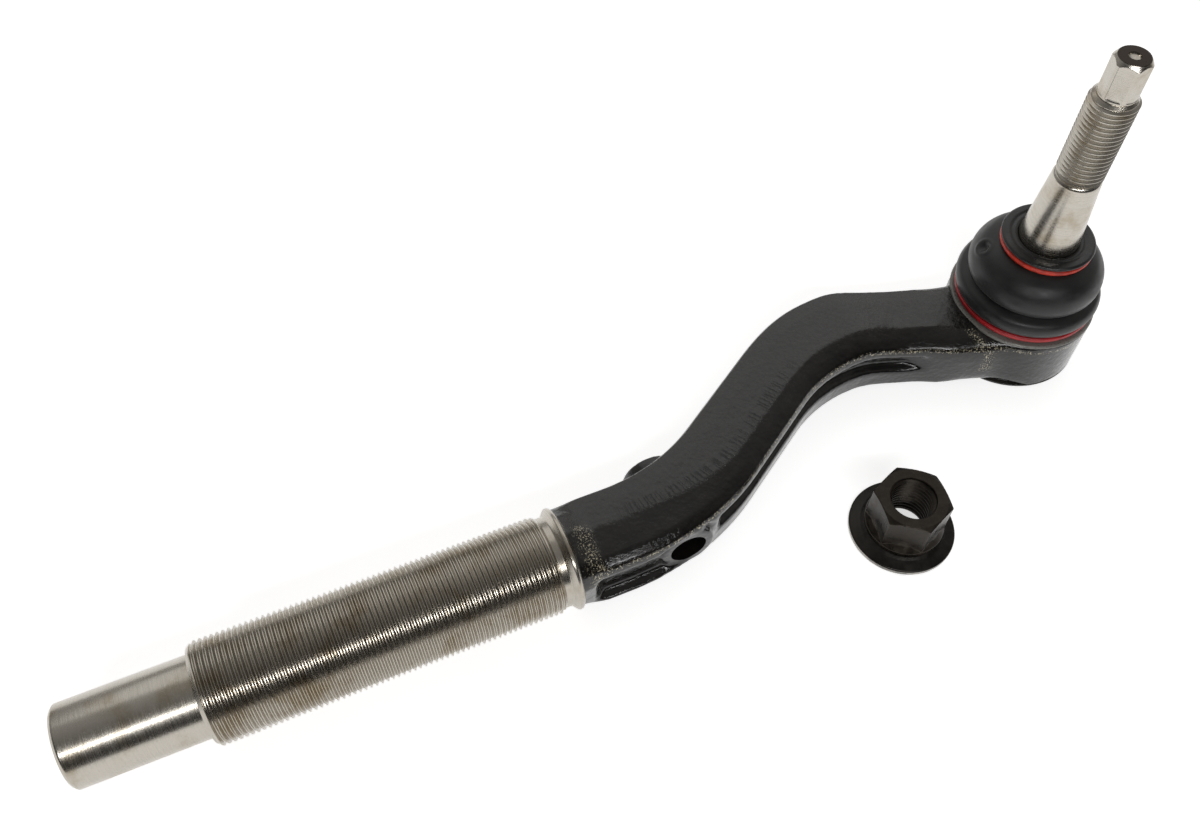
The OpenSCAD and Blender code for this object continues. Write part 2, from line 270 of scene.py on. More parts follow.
def build(name, shape, sharp_deg=32):
    """A closed and cleaned mesh object from a shape."""
    mesh = bpy.data.meshes.new(name)
    mesh.from_pydata((np.array(shape.points) * MM).tolist(), [], shape.faces)
    bm = bmesh.new()
    bm.from_mesh(mesh)
    bmesh.ops.remove_doubles(bm, verts=bm.verts, dist=2e-6)
    bmesh.ops.dissolve_degenerate(bm, edges=bm.edges, dist=1e-7)
    loose = [v for v in bm.verts if not v.link_faces]
    bmesh.ops.delete(bm, geom=loose, context="VERTS")
    open_edges = [e for e in bm.edges if e.is_boundary]
    if open_edges:
        bmesh.ops.holes_fill(bm, edges=open_edges, sides=0)
    bmesh.ops.recalc_face_normals(bm, faces=bm.faces)
    bm.to_mesh(mesh)
    bm.free()
    mesh.shade_smooth()
    mesh.set_sharp_from_angle(angle=math.radians(sharp_deg))
    piece = bpy.data.objects.new(name, mesh)
    bpy.context.collection.objects.link(piece)
    return piece


def finish_piece(piece, body, look, stands_for=()):
    """Gives a piece its material and its body, and hides the CAD nodes it stands for."""
    piece.data.materials.clear()
    piece.data.materials.append(look)
    for node in stands_for:
        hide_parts(node)
    if body:
        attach(piece, body)


def along_shank():
    """Turns a shape about +Z into one about the shank's axis, with +Z as +X."""
    return Matrix.Translation((0, SHANK_Y, SHANK_Z)) @ Matrix.Rotation(math.pi / 2, 4, "Y")


# ---------------------------------------------------------------- materials

class Look:
    """A node material with short calls for the nodes that it is wired from."""

    def __init__(self, name, colour, **numbers):
        self.material = bpy.data.materials.new(name)
        self.material.use_nodes = True
        self.tree = self.material.node_tree
        self.shader = self.tree.nodes["Principled BSDF"]
        self.shader.inputs["Base Color"].default_value = (*colour, 1)
        for socket, value in numbers.items():
            self.shader.inputs[socket.replace("_", " ").title().replace("Ior", "IOR")].default_value = value
        self.place = self.node("TexCoord").outputs["Object"]
        self.last_normal = None

    def node(self, kind, **settings):
        made = self.tree.nodes.new("ShaderNode" + kind)
        for name, value in settings.items():
            setattr(made, name, value)
        return made

    def wire(self, value, socket):
        if isinstance(value, bpy.types.NodeSocket):
            self.tree.links.new(value, socket)
        else:
            socket.default_value = value

    def stretched(self, scale):
        """Object coordinates in millimetres times a scale for each axis."""
        mapping = self.node("Mapping")
        mapping.inputs["Scale"].default_value = tuple(s / MM for s in scale)
        self.wire(self.place, mapping.inputs["Vector"])
        return mapping.outputs["Vector"]

    def noise(self, size, detail=3.0, stretch=(1, 1, 1), rough=0.5, vector=None):
        """Noise with features of a size in millimetres."""
        made = self.node("TexNoise")
        scale = tuple(s / size for s in stretch)
        self.wire(vector or self.stretched(scale), made.inputs["Vector"])
        made.inputs["Scale"].default_value = 1.0
        made.inputs["Detail"].default_value = detail
        made.inputs["Roughness"].default_value = rough
        return made.outputs["Fac"]

    def cells(self, size, vector=None, feature="F1"):
        made = self.node("TexVoronoi", feature=feature)
        self.wire(vector or self.stretched((1 / size,) * 3), made.inputs["Vector"])
        made.inputs["Scale"].default_value = 1.0
        return made.outputs["Distance"]

    def ramp(self, value, low, high, at_low=0.0, at_high=1.0):
        """A value taken from one range to another, held at the ends."""
        made = self.node("MapRange", interpolation_type="SMOOTHSTEP")
        self.wire(value, made.inputs["Value"])
        limits = (("From Min", low), ("From Max", high), ("To Min", at_low), ("To Max", at_high))
        for socket, number in limits:
            self.wire(number, made.inputs[socket])
        return made.outputs["Result"]

    def math(self, operation, a, b=0.0):
        made = self.node("Math", operation=operation)
        self.wire(a, made.inputs[0])
        self.wire(b, made.inputs[1])
        return made.outputs["Value"]

    def axis(self, name, vector=None):
        """One coordinate, in metres, of the object coordinates or of a vector."""
        made = self.node("SeparateXYZ")
        self.wire(vector or self.place, made.inputs["Vector"])
        return made.outputs[name]

    def attribute(self, name):
        return self.node("Attribute", attribute_name=name)

    def blend(self, amount, a, b):
        """Colour a where amount is 0 and colour b where it is 1."""
        made = self.node("Mix", data_type="RGBA")
        self.wire(amount, made.inputs[0])
        self.wire((*a, 1) if isinstance(a, tuple) else a, made.inputs[6])
        self.wire((*b, 1) if isinstance(b, tuple) else b, made.inputs[7])
        return made.outputs[2]

    def colour(self, value):
        self.wire(value, self.shader.inputs["Base Color"])

    def roughness(self, value):
        self.wire(value, self.shader.inputs["Roughness"])

    def metallic(self, value):
        self.wire(value, self.shader.inputs["Metallic"])

    def bump(self, height, depth_mm, strength=1.0):
        """Raises the surface by a height field, on top of the bumps before it."""
        made = self.node("Bump")
        made.inputs["Strength"].default_value = strength
        made.inputs["Distance"].default_value = depth_mm * MM
        self.wire(height, made.inputs["Height"])
        if self.last_normal is not None:
            self.wire(self.last_normal, made.inputs["Normal"])
        self.last_normal = made.outputs["Normal"]
        self.wire(self.last_normal, self.shader.inputs["Normal"])


def turned_steel(name, axis, tint=(0.47, 0.44, 0.39), rough=0.22, dark_above=None):
    """Bare steel turned on a lathe, with rings about an axis, and faint brown staining.
    Above dark_above, a height in millimetres, it keeps its dark scale."""
    look = Look(name, tint, metallic=1.0, anisotropic=0.35)
    fine = tuple(12.0 if i == axis else 0.05 for i in range(3))
    rings = look.noise(1.0, detail=3.0, stretch=fine)
    coarse = look.noise(1.0, detail=2.0, stretch=tuple(2.2 if i == axis else 0.06 for i in range(3)))
    stain = look.noise(9.0, detail=5.0, rough=0.62)
    marks = look.noise(0.6, detail=4.0, rough=0.7)
    brown = tuple(c * k for c, k in zip(tint, (0.74, 0.68, 0.58)))
    shade = look.blend(look.ramp(stain, 0.45, 0.72), tint, brown)
    shade = look.blend(look.ramp(rings, 0.35, 0.7, 0.0, 0.22), shade, tuple(0.55 * c for c in tint))
    if dark_above:
        scale = look.ramp(look.axis("Z"), (dark_above - 0.2) * MM, dark_above * MM)
        shade = look.blend(scale, shade, (0.030, 0.022, 0.016))
    look.colour(shade)
    uneven = look.math("ADD", look.ramp(rings, 0.2, 0.8, rough - 0.05, rough + 0.09),
                       look.ramp(marks, 0.5, 0.8, 0.0, 0.10))
    look.roughness(uneven)
    look.bump(rings, 0.012, 0.8)
    look.bump(coarse, 0.02, 0.5)
    look.bump(marks, 0.008, 0.4)
    return look.material


def black_paint():
    """Glossy black paint over a rough forging, with painted light: its far side made lighter, and light
    flecks painted as glints along its flash lines.
    """
    look = Look("black_paint_on_forging", (0.006, 0.0055, 0.005), specular_ior_level=0.5, coat_weight=0.25,
                coat_roughness=0.1)
    arm = look.attribute("arm")
    along = look.axis("X", arm.outputs["Vector"])
    side = look.axis("Y", arm.outputs["Vector"])
    height = look.axis("Z", arm.outputs["Vector"])
    far = look.ramp(side, -0.5, 1.5)
    grain = look.noise(0.9, detail=4.0, rough=0.62)
    lumps = look.noise(4.5, detail=3.0)
    pits = look.cells(1.6)
    flecks = look.noise(0.55, detail=4.0, rough=0.75)

    hatch_at = look.node("CombineXYZ")
    look.wire(look.math("MULTIPLY", along, 1.3), hatch_at.inputs["X"])
    look.wire(look.math("MULTIPLY", side, 0.03), hatch_at.inputs["Y"])
    hatch = look.noise(1.0, detail=2.0, vector=hatch_at.outputs["Vector"])
    hatch_band = look.math("MULTIPLY", look.ramp(side, -0.6, 0.4), look.ramp(side, 2.6, 4.4, 1.0, 0.0))
    hatch_run = look.math("MULTIPLY", look.ramp(along, 14, 26), look.ramp(along, 82, 100, 1.0, 0.0))
    hatch_area = look.math("MULTIPLY", hatch_band, hatch_run)
    hatch_on = look.math("MULTIPLY", hatch_area, look.ramp(height, 6.0, 9.0))
    hatch_lines = look.math("MULTIPLY", look.ramp(hatch, 0.52, 0.57), hatch_on)

    lip = look.attribute("lip").outputs["Fac"]
    # Painted glints: light tan flecks where the lip places are marked, standing in for highlights on the near
    # side's flash line, at the housing root and by the shank.
    painted_glints = look.math("MULTIPLY", look.ramp(flecks, 0.55, 0.60), look.ramp(lip, 0.35, 0.9))

    dust = look.ramp(lumps, 0.35, 0.75, 0.0, 1.0)
    shade = look.blend(dust, (0.005, 0.0045, 0.004), (0.010, 0.009, 0.008))
    # Painted light: the far, upper side is made lighter, standing in for the sky that the top face reflects.
    shade = look.blend(look.math("MULTIPLY", far, 0.6), shade, (0.010, 0.009, 0.008))
    shade = look.blend(hatch_lines, shade, (0.002, 0.002, 0.002))
    # Painted glints: the light tan flecks laid over the paint.
    shade = look.blend(painted_glints, shade, (0.62, 0.56, 0.40))
    look.colour(shade)
    gloss = look.math("ADD", look.ramp(grain, 0.3, 0.75, 0.10, 0.26), look.math("MULTIPLY", far, 0.14))
    gloss = look.math("ADD", gloss, look.math("MULTIPLY", hatch_lines, 0.35))
    look.roughness(gloss)
    look.bump(lumps, 0.5, 0.5)
    look.bump(pits, 0.16, 0.45)
    look.bump(grain, 0.14, 0.7)
    look.bump(hatch_lines, -0.18, 0.7)
    return look.material


def housing_paint():
    """Thin dark paint over the turned wall of the housing."""
    look = Look("dark_paint_on_turned_wall", (0.03, 0.028, 0.025), specular_ior_level=0.5, coat_weight=0.2)
    rings = look.noise(1.0, detail=3.0, stretch=(0.03, 0.03, 5.0))
    spots = look.noise(0.7, detail=4.0, rough=0.7)
    clouds = look.noise(6.0, detail=4.0)
    z = look.axis("Z")
    edge = look.math("MULTIPLY", look.ramp(z, (HOUSING_H - 1.05) * MM, (HOUSING_H - 0.75) * MM),
                     look.ramp(spots, 0.25, 0.5))
    shade = look.blend(look.ramp(clouds, 0.3, 0.75), (0.010, 0.009, 0.008), (0.020, 0.018, 0.015))
    shade = look.blend(look.ramp(rings, 0.45, 0.7, 0.0, 0.4), shade, (0.032, 0.029, 0.024))
    shade = look.blend(look.math("MULTIPLY", edge, 0.55), shade, (0.34, 0.33, 0.30))
    look.colour(shade)
    look.roughness(look.ramp(spots, 0.3, 0.8, 0.30, 0.5))
    look.bump(rings, 0.03, 0.6)
    look.bump(spots, 0.05, 0.5)
    look.bump(clouds, 0.15, 0.3)
    return look.material


def rubber(name, base=0.007, greasy=False):
    """Black moulded rubber with a soft sheen, faint dust and fine grain."""
    look = Look(name, (base, base, base), specular_ior_level=0.45, sheen_weight=0.08, sheen_roughness=0.5)
    grain = look.noise(0.35, detail=4.0, rough=0.6)
    smears = look.noise(7.0, detail=5.0, rough=0.6, stretch=(1, 1, 2.2))
    marks = look.noise(1.7, detail=5.0, rough=0.7)
    shade = look.blend(look.ramp(smears, 0.4, 0.75), (base, base, base * 1.02),
                       (base * 1.9, base * 1.85, base * 1.75))
    shade = look.blend(look.ramp(marks, 0.66, 0.78, 0.0, 0.5), shade, (0.045, 0.042, 0.036))
    look.colour(shade)
    low, high = (0.22, 0.5) if greasy else (0.36, 0.54)
    look.roughness(look.ramp(smears, 0.3, 0.75, low, high))
    look.bump(grain, 0.03, 0.4)
    look.bump(marks, 0.16 if greasy else 0.05, 0.5)
    return look.material


def red_plastic(name, colour):
    """Glossy red plastic-coated ring."""
    look = Look(name, colour, specular_ior_level=0.5)
    wear = look.noise(2.4, detail=4.0)
    fine = look.noise(0.4, detail=3.0)
    darker = tuple(0.55 * c for c in colour)
    look.colour(look.blend(look.ramp(wear, 0.35, 0.75), colour, darker))
    look.roughness(look.ramp(fine, 0.3, 0.8, 0.3, 0.5))
    look.bump(fine, 0.03, 0.4)
    return look.material


def phosphate(name, base, rims=()):
    """Dark brown-black phosphate on steel, with its edges worn bright."""
    look = Look(name, base, metallic=0.75, specular_ior_level=0.5)
    clouds = look.noise(3.0, detail=5.0, rough=0.6)
    grain = look.noise(0.25, detail=3.0)
    shade = look.blend(look.ramp(clouds, 0.35, 0.7), base, tuple(1.9 * c for c in base))
    z = look.axis("Z")
    for low, high, colour in rims:
        band = look.math("MULTIPLY", look.ramp(z, (low - 0.1) * MM, low * MM),
                         look.ramp(z, high * MM, (high + 0.1) * MM, 1.0, 0.0))
        shade = look.blend(look.math("MULTIPLY", band, look.ramp(clouds, 0.3, 0.6, 0.35, 0.9)), shade, colour)
    look.colour(shade)
    look.roughness(look.ramp(clouds, 0.3, 0.75, 0.26, 0.46))
    look.bump(grain, 0.02, 0.5)
    look.bump(clouds, 0.05, 0.3)
    return look.material


def bearing_plastic():
    """Off-white bearing plastic with the marks of its mould."""
    look = Look("bearing_plastic", (0.72, 0.68, 0.58), specular_ior_level=0.4)
    flow = look.noise(5.0, detail=4.0, stretch=(1, 1, 0.4))
    grain = look.noise(0.4, detail=3.0)
    look.colour(look.blend(look.ramp(flow, 0.3, 0.75), (0.76, 0.73, 0.64), (0.62, 0.58, 0.48)))
    look.roughness(look.ramp(grain, 0.3, 0.8, 0.45, 0.6))
    look.bump(grain, 0.03, 0.4)
    return look.material


# ---------------------------------------------------------------- pieces of the forging

def make_shank(steel):
    """Pilot, threaded shank, relief and collar, all turned from the forging's end."""
    shape = Shape()
    shape.turned(rounded([
        (0, PILOT_END), (PILOT_R - 1.0, PILOT_END), (PILOT_R, PILOT_END + 1.0),
        (PILOT_R, PILOT_START + 0.2), (0, PILOT_START + 0.2),
    ], 0.35))
    shape.thread(PILOT_START, SHANK_START, SHANK_R, SHANK_R - THREAD_DEPTH,
                 SHANK_R - THREAD_DEPTH - 0.3, RELIEF_R, per_turn=120)
    shape.turned(rounded([
        (0, SHANK_START - 0.2), (RELIEF_R, SHANK_START - 0.2), (RELIEF_R, -REACH - 1.6),
        (COLLAR_R - 0.35, -REACH - 0.35), (COLLAR_R, -REACH), (COLLAR_R, -REACH + 0.8),
        (RELIEF_R, -REACH + 2.0), (0, -REACH + 2.0),
    ], 0.3))
    piece = build("shank", shape.moved(along_shank()))
    finish_piece(piece, "body", steel, ["forged_body"])


def step_up(x, low, high):
    """Smooth step from 0 at low to 1 at high."""
    t = np.clip((x - low) / (high - low), 0, 1)
    return t * t * (3 - 2 * t)


def arm_path(s):
    """Heading and centre of the arm after a run of s."""
    s = np.atleast_1d(np.asarray(s, float))
    fine = np.linspace(0, ARM_LEN + ROOT_OVERRUN, 4001)
    bend_out_start = ARM_LEN - RUN_IN - BEND_OUT_R * (SLANT + EXIT)
    corners = [0, LEAD, LEAD + BEND_IN_R * SLANT, bend_out_start, ARM_LEN - RUN_IN, ARM_LEN]
    heading = np.interp(fine, corners, [0, 0, SLANT, SLANT, -EXIT, -EXIT])
    step = fine[1]
    middle = (heading[1:] + heading[:-1]) / 2
    x = np.concatenate([[0], np.cumsum(np.cos(middle)) * step]) - REACH
    y = np.concatenate([[0], np.cumsum(np.sin(middle)) * step]) + SHANK_Y
    return np.interp(s, fine, heading), np.interp(s, fine, x), np.interp(s, fine, y)


def arm_frame(s):
    """Half width, half height and middle height of the arm's section after a run of s."""
    late = step_up(s, ARM_LEN - 46, ARM_LEN - 26)
    square = step_up(s, 0, 10)
    half_w = ARM_W / 2 + ROOT_FLARE * step_up(s, ARM_LEN - 22, ARM_LEN - 8)
    half_h = (ARM_H - ROOT_HEIGHT_LOSS * late) / 2
    middle = SHANK_Z + (ARM_H / 2 + ARM_CLEARANCE - SHANK_Z) * square - ROOT_DROP * late
    return half_w, half_h, middle, square


def pocket_depth(s):
    """Depth of the side pockets after a run of s: a short one by the shank and a long one."""
    first = step_up(s, 4, 9) * (1 - step_up(s, 36, 40))
    second = step_up(s, 41, 46) * (1 - step_up(s, ARM_LEN - 26, ARM_LEN - 17))
    return POCKET_DEPTH * (first + second)


def ridge_place(s):
    """Sideways place of the arm's top ridge after a run of s."""
    return -RIDGE_SHIFT * step_up(s, 20, 60)


def arm_section(s):
    """Outline of the arm's section after a run of s, as sideways and upwards pairs."""
    half_w, half_h, _, square = arm_frame(s)
    deep = pocket_depth(s)
    ridge = ridge_place(s)
    low_rise = 0.5 * step_up(s, 36, 44)
    top_rise = 0.12 * step_up(s, 22, 28) * (1 - step_up(s, 40, 44))
    swell = FAR_SWELL * step_up(s, ARM_LEN - 80, ARM_LEN - 55) * (1 - step_up(s, ARM_LEN - 48, ARM_LEN - 34))
    corners = [
        (0.997, 0.50, 0), (0.98, 0.78, 0), (0.91, 0.92, 0), (0.50, 0.975, 0), (0.00, 1.00, 0),
        (-0.70, 0.84, 0), (-0.93, 0.67, 0), (-0.98, 0.55, 0), (-0.997, 0.38 + top_rise, 0),
        (-1.003, 0.27 + top_rise, 1), (-1.003, -0.68 + low_rise, 1), (-0.997, -0.78 + low_rise, 0),
        (-0.98, -0.87, 0), (-0.90, -0.97, 0), (0.00, -1.00, 0), (0.90, -0.97, 0), (0.98, -0.87, 0),
        (0.997, -0.78 + low_rise, 0), (1.003, -0.68 + low_rise, 1), (1.003, 0.27, 1),
    ]
    round_r = COLLAR_R - 0.7
    points = []
    for k, (u, v, pocket) in enumerate(corners):
        turn = math.atan2(v, u)
        w = u * half_w - math.copysign(pocket * deep, u)
        w += (ridge if k == RIDGE_CORNER else 0) + (swell if u > 0 else 0)
        h = v * half_h
        points.append((round_r * math.cos(turn) * (1 - square) + w * square,
                       round_r * math.sin(turn) * (1 - square) + h * square))
    p = np.array(points + [points[0]])
    length = np.concatenate([[0], np.cumsum(np.hypot(*np.diff(p, axis=0).T))])
    even = np.linspace(0, length[-1], SECTION_POINTS + 1)[:-1]
    return np.stack([np.interp(even, length, p[:, 0]), np.interp(even, length, p[:, 1])], axis=1)


def sweep_arm():
    """The swept arm, from inside the collar to inside the housing."""
    stations = np.linspace(0, ARM_LEN + ROOT_OVERRUN, ARM_STATIONS)
    heading, x, y = arm_path(stations)
    points = []
    for s, a, cx, cy in zip(stations, heading, x, y):
        _, _, middle, _ = arm_frame(s)
        section = arm_section(s)
        points.extend(zip(cx - section[:, 0] * math.sin(a), cy + section[:, 0] * math.cos(a),
                          section[:, 1] + middle))
    count = SECTION_POINTS
    faces = grid_faces(len(stations), count)
    faces.append(tuple(range(count))[::-1])
    faces.append(tuple(range((len(stations) - 1) * count, len(stations) * count)))
    return Shape().add(points, faces)


def cylinder_y(x, z, radius, low, high, segments=64):
    """A closed cylinder along +Y."""
    shape = Shape().turned([(0, low), (radius, low), (radius, high), (0, high)], segments)
    return shape.moved(Matrix.Translation((x, 0, z)) @ Matrix.Rotation(-math.pi / 2, 4, "X"))


def apply_modifiers(piece):
    """Replaces a piece's mesh by the result of its modifiers."""
    graph = bpy.context.evaluated_depsgraph_get()
    mesh = bpy.data.meshes.new_from_object(piece.evaluated_get(graph))
    piece.modifiers.clear()
    piece.data = mesh


def coordinates(mesh):
    """The vertices of a mesh as an array in millimetres."""
    co = np.empty(len(mesh.vertices) * 3, np.float32)
    mesh.vertices.foreach_get("co", co)
    return co.reshape(-1, 3) / MM


def arm_coordinates(co):
    """Run along the arm, sideways place and height from its middle, for each point."""
    stations = np.linspace(-4, ARM_LEN, 420)
    heading, x, y = arm_path(np.clip(stations, 0, ARM_LEN))
    x = np.where(stations < 0, x + stations, x)
    nearest = np.empty(len(co), int)
    for start in range(0, len(co), 20000):
        part = co[start:start + 20000]
        distance = (part[:, :1] - x) ** 2 + (part[:, 1:2] - y) ** 2
        nearest[start:start + 20000] = distance.argmin(axis=1)
    s = stations[nearest]
    turn = heading[nearest]
    side = -(co[:, 0] - x[nearest]) * np.sin(turn) + (co[:, 1] - y[nearest]) * np.cos(turn)
    _, half_h, middle, _ = arm_frame(s)
    return s, side, co[:, 2] - middle, half_h


def add_boolean(piece, name, operation, other):
    """Joins another object to a piece, or cuts it out."""
    modifier = piece.modifiers.new(name, "BOOLEAN")
    modifier.operation = operation
    modifier.solver = "EXACT"
    modifier.object = other


def add_smoothing(piece, name, weights, rounds):
    """Smooths a piece where its weights, from 0 to 1, say so."""
    group = piece.vertex_groups.new(name=name)
    levels = np.round(weights, 1)
    for level in np.unique(levels):
        if level > 0:
            group.add(np.flatnonzero(levels == level).tolist(), float(level), "REPLACE")
    smooth = piece.modifiers.new(name, "SMOOTH")
    smooth.vertex_group = name
    smooth.factor = 0.5
    smooth.iterations = rounds


def smoothing_weights(co):
    """Weights of the fillet at the housing, and of the one round the boss."""
    from_axis = np.hypot(co[:, 0], co[:, 1])
    by_housing = (1 - step_up(from_axis, 28, 36)) * step_up(from_axis, 20.5, 22.0)
    by_housing = by_housing * step_up(-co[:, 0], 6, 14)
    from_boss = np.hypot(co[:, 0] - BOSS_CENTRE.x, co[:, 2] - BOSS_CENTRE.z)
    by_boss = 1 - step_up(np.abs(from_boss - BOSS_R), 1.5, 4.0)
    return by_housing, by_boss


def fused_arm():
    """Arm, boss and the housing's drum as one skin, filleted where they meet."""
    piece = build("forged_arm", sweep_arm())
    boss = build("boss_scratch", cylinder_y(BOSS_CENTRE.x, BOSS_CENTRE.z, BOSS_R, BOSS_NEAR_Y, BOSS_FAR_Y))
    drum = build("drum_scratch", Shape().turned([
        (0, DRUM_LOW), (DRUM_R, DRUM_LOW), (DRUM_R, DRUM_HIGH), (0, DRUM_HIGH)], 192))
    for other in (boss, drum):
        add_boolean(piece, "union", "UNION", other)
    remesh = piece.modifiers.new("remesh", "REMESH")
    remesh.mode = "VOXEL"
    remesh.voxel_size = 0.00050
    apply_modifiers(piece)

    co = coordinates(piece.data)
    by_housing, by_boss = smoothing_weights(co)
    add_smoothing(piece, "by_housing", by_housing, 220)
    add_smoothing(piece, "by_boss", by_boss, 20)
    add_smoothing(piece, "all", np.ones(len(co)), 3)
    hole = build("hole_scratch", cylinder_y(BOSS_CENTRE.x, BOSS_CENTRE.z, BOSS_HOLE_R,
                                            BOSS_NEAR_Y - 6, BOSS_FAR_Y + 6))
    add_boolean(piece, "hole", "DIFFERENCE", hole)
    trim = build("trim_scratch", Shape().turned([
        (0, TRIM_LOW), (TRIM_R, TRIM_LOW), (TRIM_R, 40), (0, 40)]))
    add_boolean(piece, "trim", "DIFFERENCE", trim)
    apply_modifiers(piece)
    for other in (boss, drum, hole, trim):
        bpy.data.objects.remove(other)
    return piece


def make_forging(paint):
    """The painted forging, with the places that its paint needs to know."""
    piece = fused_arm()
    mesh = piece.data
    co = coordinates(mesh)
    s, side, height, half_h = arm_coordinates(co)
    arm = mesh.attributes.new("arm", "FLOAT_VECTOR", "POINT")
    places = np.stack([s, side - ridge_place(s), height], axis=1)
    arm.data.foreach_set("vector", places.astype(np.float32).ravel())
    # Places of the light flecks painted as glints: the near side's flash line, round the root at the housing
    # and the start by the shank.
    on_near = side < -ARM_W / 2 * 0.55
    lip = np.exp(-((height - 0.60 * half_h) / 0.8) ** 2) * on_near * step_up(s, 4, 10)
    root = np.exp(-((np.hypot(co[:, 0], co[:, 1]) - 26) / 2.0) ** 2) * (height > -4) * on_near
    start = np.exp(-((s - 6) / 4) ** 2) * (height > 1) * (side < 2) * 0.8
    values = np.clip(lip + 0.8 * root + start, 0, 1)
    mesh.attributes.new("lip", "FLOAT", "POINT").data.foreach_set("value", values.astype(np.float32))
    mesh.shade_smooth()
    mesh.set_sharp_from_angle(angle=math.radians(50))
    finish_piece(piece, "body", paint, ["forged_body"])


def make_housing(paint):
    """The turned outside of the housing, its neck, and the socket inside."""
    outline = rounded([
        (COVER_R - LIP_DROP, 0), (HOUSING_R - 1, 0), (HOUSING_R, 1), (HOUSING_R, 1.5), (HOUSING_R - 1.5, 1.7),
        (HOUSING_R - 1.5, HOUSING_H - 1.1), (HOUSING_R, HOUSING_H - 0.9), (HOUSING_R, HOUSING_H - 0.5),
        (HOUSING_R - 0.5, HOUSING_H), (NECK_R, HOUSING_H), (NECK_R, NECK_TOP - 0.5), (NECK_R - 0.5, NECK_TOP),
        (13.4, NECK_TOP), (10.9, 20), (15.5, 20), (15.5, 2.8), (COVER_R, 2.8), (COVER_R, LIP_DROP),
        (COVER_R - LIP_DROP, 0),
    ], 0.3)
    piece = build("socket_housing", Shape().turned(outline, 192))
    finish_piece(piece, "body", paint, ["forged_body"])


# ---------------------------------------------------------------- ball stud

def hexagon(flats, turn=0.0):
    """Radius of a hexagon at each angle."""
    sixth = math.pi / 3

    def radius(angle):
        return flats / 2 / np.cos((angle - turn) % sixth - sixth / 2)
    return radius


def cone_cut(shape_r, limit):
    """The smaller of a radius that varies with the angle and a limit."""
    return lambda angle: np.minimum(shape_r(angle), limit)


def make_stud(steel):
    """Ball, neck, taper, thread and the hexagonal holding tip."""
    shape = Shape()
    flat = 8.3
    taper_end = STUD_THREAD_LOW - 0.6
    taper_end_r = SHOULDER_R - (taper_end - SHOULDER_TOP) / 12
    neck_r = 6.5
    start = math.acos(flat / BALL_R)
    end = math.pi - math.asin(neck_r / BALL_R)
    ball = [(BALL_R * math.sin(a), BALL_Z - BALL_R * math.cos(a)) for a in np.linspace(start, end, 40)]
    shaft = rounded([
        (neck_r, BALL_Z + BALL_R), (neck_r, 31.5), (SHOULDER_R, 38), (SHOULDER_R, SHOULDER_TOP),
        (taper_end_r, taper_end), (STUD_R - 0.6, STUD_THREAD_LOW + 0.3), (0, STUD_THREAD_LOW + 0.3),
    ], 0.5)
    shape.turned([(0, BALL_Z - flat), *ball, *shaft])
    shape.thread(STUD_THREAD_LOW, STUD_THREAD_HIGH, STUD_R, STUD_R - THREAD_DEPTH,
                 STUD_R - 0.7, STUD_R - THREAD_DEPTH - 0.5, per_turn=120)
    across = hexagon(TIP_FLATS, TIP_TURN)
    flats_low = STUD_THREAD_HIGH + 0.6
    rows = [(0, STUD_THREAD_HIGH - 0.4), (TIP_ROUND_R, STUD_THREAD_HIGH - 0.4), (TIP_ROUND_R, flats_low)]
    for z in np.linspace(flats_low + 0.1, flats_low + 2.0, 12):
        runout = TIP_FLATS / 2 + 0.5 * (1 - math.sqrt((z - flats_low) / 2.0))
        rows.append((lambda angle, r=runout: np.clip(across(angle), r, TIP_ROUND_R), z))
    for z in np.linspace(flats_low + 2.2, TIP_TOP - 1.6, 6):
        rows.append((cone_cut(across, TIP_ROUND_R), z))
    for z in np.linspace(TIP_TOP - 1.5, TIP_TOP, 12):
        limit = min(TIP_ROUND_R, TIP_FLATS / 2 - 0.55 + (TIP_TOP - z) * 0.75)
        rows.append((cone_cut(across, limit), z))
    rows += [(1.7, TIP_TOP), (1.5, TIP_TOP - 0.5), (0, TIP_TOP - 1.0)]
    shape.rings(rows, 240)
    piece = build("tapered_ball_stud", shape, 24)
    finish_piece(piece, "stud", steel, ["ball_stud"])


# ---------------------------------------------------------------- boot

def make_boot(look):
    """The rubber boot, with its two bulges, fold and moulded dimple."""
    outer = smooth_outline([
        (20.1, 23.6), (20.9, 23.75), (22.0, 24.5), (22.55, 26.0), (22.4, 27.7), (21.5, 29.1),
        (19.7, 30.0), (18.8, 30.5), (19.6, 31.0), (20.3, 32.2), (20.6, 34.3), (20.2, 36.7),
        (19.1, 38.9), (17.2, 40.9), (15.0, 42.2), (13.1, 42.95), (12.35, 43.3),
    ])
    inner = smooth_outline([
        (11.1, 42.0), (13.4, 41.2), (15.4, 39.9), (17.1, 37.9), (18.2, 35.8), (18.6, 34.2),
        (18.1, 32.9), (16.9, 31.4), (16.9, 30.0), (18.5, 28.6), (20.0, 27.4), (20.4, 26.4), (19.9, 25.3),
        (NECK_R + 0.06, 24.4),
    ])
    outline = [(NECK_R + 0.06, BOOT_LOW.z), (20.7, BOOT_LOW.z), (20.9, 21.4), (20.8, 21.65), (20.1, 21.8),
               *outer, (12.3, BOOT_HIGH.z), (11.06, BOOT_HIGH.z), *inner]
    shape = Shape().turned(outline, 192, closed=True)
    points = np.array(shape.points)
    dimple_angle = math.radians(152)
    dimple = np.array([17.9 * math.cos(dimple_angle), 17.9 * math.sin(dimple_angle), 40.2])
    away = np.linalg.norm(points - dimple, axis=1)
    depth = 1.1 * (1 - step_up(away, 0.4, 2.3)) - 0.22 * np.exp(-((away - 2.7) / 0.5) ** 2)
    inwards = np.array([0, 0, 30.0]) - points
    inwards /= np.linalg.norm(inwards, axis=1)[:, None]
    points += inwards * depth[:, None]
    shape.points = [tuple(p) for p in points]
    piece = build("rubber_boot", shape, 60)
    piece.data.materials.append(look)
    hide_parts("dust_boot")
    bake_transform(piece)


